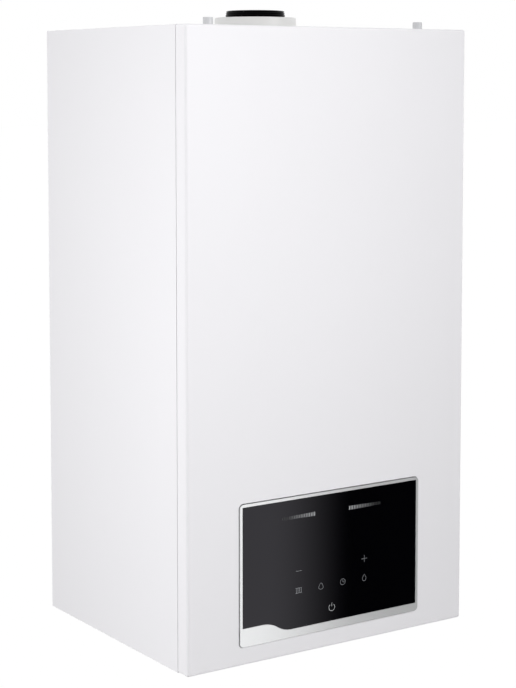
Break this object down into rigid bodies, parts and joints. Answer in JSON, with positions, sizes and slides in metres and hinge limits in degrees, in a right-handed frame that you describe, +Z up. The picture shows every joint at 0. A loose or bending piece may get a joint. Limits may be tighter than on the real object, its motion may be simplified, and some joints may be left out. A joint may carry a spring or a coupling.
{
  "type": "condensing gas boiler",
  "caption": "White wall-hung condensing gas boiler with a dark touch panel, a concentric flue collar on top and its burner, pump and water parts inside.",
  "frame": {"origin": "middle of the wall bracket's two fixing holes, on the wall plane", "axes": "+X to the right of a viewer who faces the boiler, +Y into the wall, +Z up"},
  "size_m": [0.4, 0.3295, 0.7565],
  "materials": {
    "white_paint": "satin white powder coat",
    "galvanised": "galvanised sheet",
    "stainless": "plain stainless steel",
    "zinc": "bright zinc plate",
    "cast_aluminium": "as cast",
    "copper": "plain copper tube",
    "brass": "turned brass",
    "black_rubber": "smooth",
    "white_plastic": "gloss",
    "black_plastic": "fine grain",
    "grey_plastic": "fine grain",
    "composite": "glass-filled composite",
    "silver_plastic": "satin silver",
    "touch_glass": "black-backed polished glass",
    "circuit_board": "solder mask",
    "ceramic": "glazed ceramic",
    "fibre": "ceramic fibre",
    "red_plastic": "gloss",
    "red_paint": "gloss red enamel",
    "blue_plastic": "fine grain"
  },
  "bodies": {
    "bracket": {"wall_bracket": "galvanised"},
    "chassis": {"back_plate": "galvanised", "base_plate": "galvanised", "top_plate": "white_paint", "left_side_panel": "white_paint", "right_side_panel": "white_paint", "cover_studs": "zinc", "cover_seal": "black_rubber", "flue_collar": "white_plastic", "flue_duct": "grey_plastic", "flue_seal": "black_rubber", "exchanger_drum": "composite", "exchanger_coil": "stainless", "drum_shelf": "galvanised", "burner_door": "cast_aluminium", "door_nuts": "zinc", "door_insulation": "fibre", "burner_tube": "stainless", "ignition_electrode": "ceramic", "igniter": "black_plastic", "ignition_lead": "black_rubber", "fan_housing": "cast_aluminium", "fan_motor": "black_plastic", "mixing_manifold": "cast_aluminium", "venturi_mixer": "cast_aluminium", "intake_silencer": "black_plastic", "gas_valve": "cast_aluminium", "gas_pipe": "copper", "large_connectors": "brass", "small_connectors": "brass", "flow_block": "composite", "return_block": "composite", "diverter_motor": "grey_plastic", "plate_exchanger": "stainless", "pump_housing": "composite", "pump_motor": "black_plastic", "air_vent": "brass", "safety_valve": "brass", "expansion_vessel": "red_paint", "vessel_hose": "black_rubber", "flow_pipe": "copper", "return_pipe": "copper", "condensate_trap": "grey_plastic", "condensate_hose": "black_rubber", "hinge_brackets": "galvanised", "cable_grommets": "black_rubber"},
    "cover": {"front_cover": "white_paint", "cover_screws": "zinc"},
    "control_box": {"control_tray": "black_plastic", "display_bezel": "silver_plastic", "touch_glass": "touch_glass", "display_board": "circuit_board", "main_board": "circuit_board"},
    "fan_rotor": {"fan_wheel": "grey_plastic"},
    "pump_shaft": {"pump_rotor": "stainless"},
    "diverter": {"diverter_stem": "brass"},
    "relief_knob": {"safety_valve_knob": "red_plastic"},
    "filling_knob": {"filling_tap": "blue_plastic"},
    "drain_handle": {"drain_tap": "black_plastic"},
    "trap_bottom": {"trap_cup": "white_plastic"}
  },
  "joints": [
    {"name": "lift_off", "type": "slide", "parent": "bracket", "child": "chassis", "axis": [0, 0, 1], "range_m": [0, 0.02]},
    {"name": "cover_pull", "type": "slide", "parent": "chassis", "child": "cover", "axis": [0, -1, 0], "range_m": [0, 0.4]},
    {"name": "control_swing", "type": "hinge", "parent": "chassis", "child": "control_box", "pos_m": [0, -0.3, -0.649], "axis": [1, 0, 0], "range_deg": [0, 90]},
    {"name": "fan_spin", "type": "hinge", "parent": "chassis", "child": "fan_rotor", "pos_m": [0.105, -0.27, -0.244], "axis": [0, 1, 0], "continuous": true},
    {"name": "pump_spin", "type": "hinge", "parent": "chassis", "child": "pump_shaft", "pos_m": [0.122, -0.15, -0.4825], "axis": [0, 1, 0], "continuous": true},
    {"name": "diverter_shift", "type": "slide", "parent": "chassis", "child": "diverter", "axis": [0, 1, 0], "range_m": [0, 0.006]},
    {"name": "relief_turn", "type": "hinge", "parent": "chassis", "child": "relief_knob", "pos_m": [-0.065, -0.18, -0.5835], "axis": [0, -1, 0], "range_deg": [0, 90]},
    {"name": "filling_turn", "type": "hinge", "parent": "chassis", "child": "filling_knob", "pos_m": [0.0975, -0.145, -0.6275], "axis": [0, 0, -1], "range_deg": [0, 180]},
    {"name": "drain_turn", "type": "hinge", "parent": "chassis", "child": "drain_handle", "pos_m": [-0.0975, -0.145, -0.6275], "axis": [0, 0, -1], "range_deg": [0, 90]},
    {"name": "cup_drop", "type": "slide", "parent": "chassis", "child": "trap_bottom", "axis": [0, 0, -1], "range_m": [0, 0.06]}
  ],
  "couplings": [
    {"joint": "control_swing", "follows": "cover_pull", "rad_per_m": 3.9269}
  ]
}
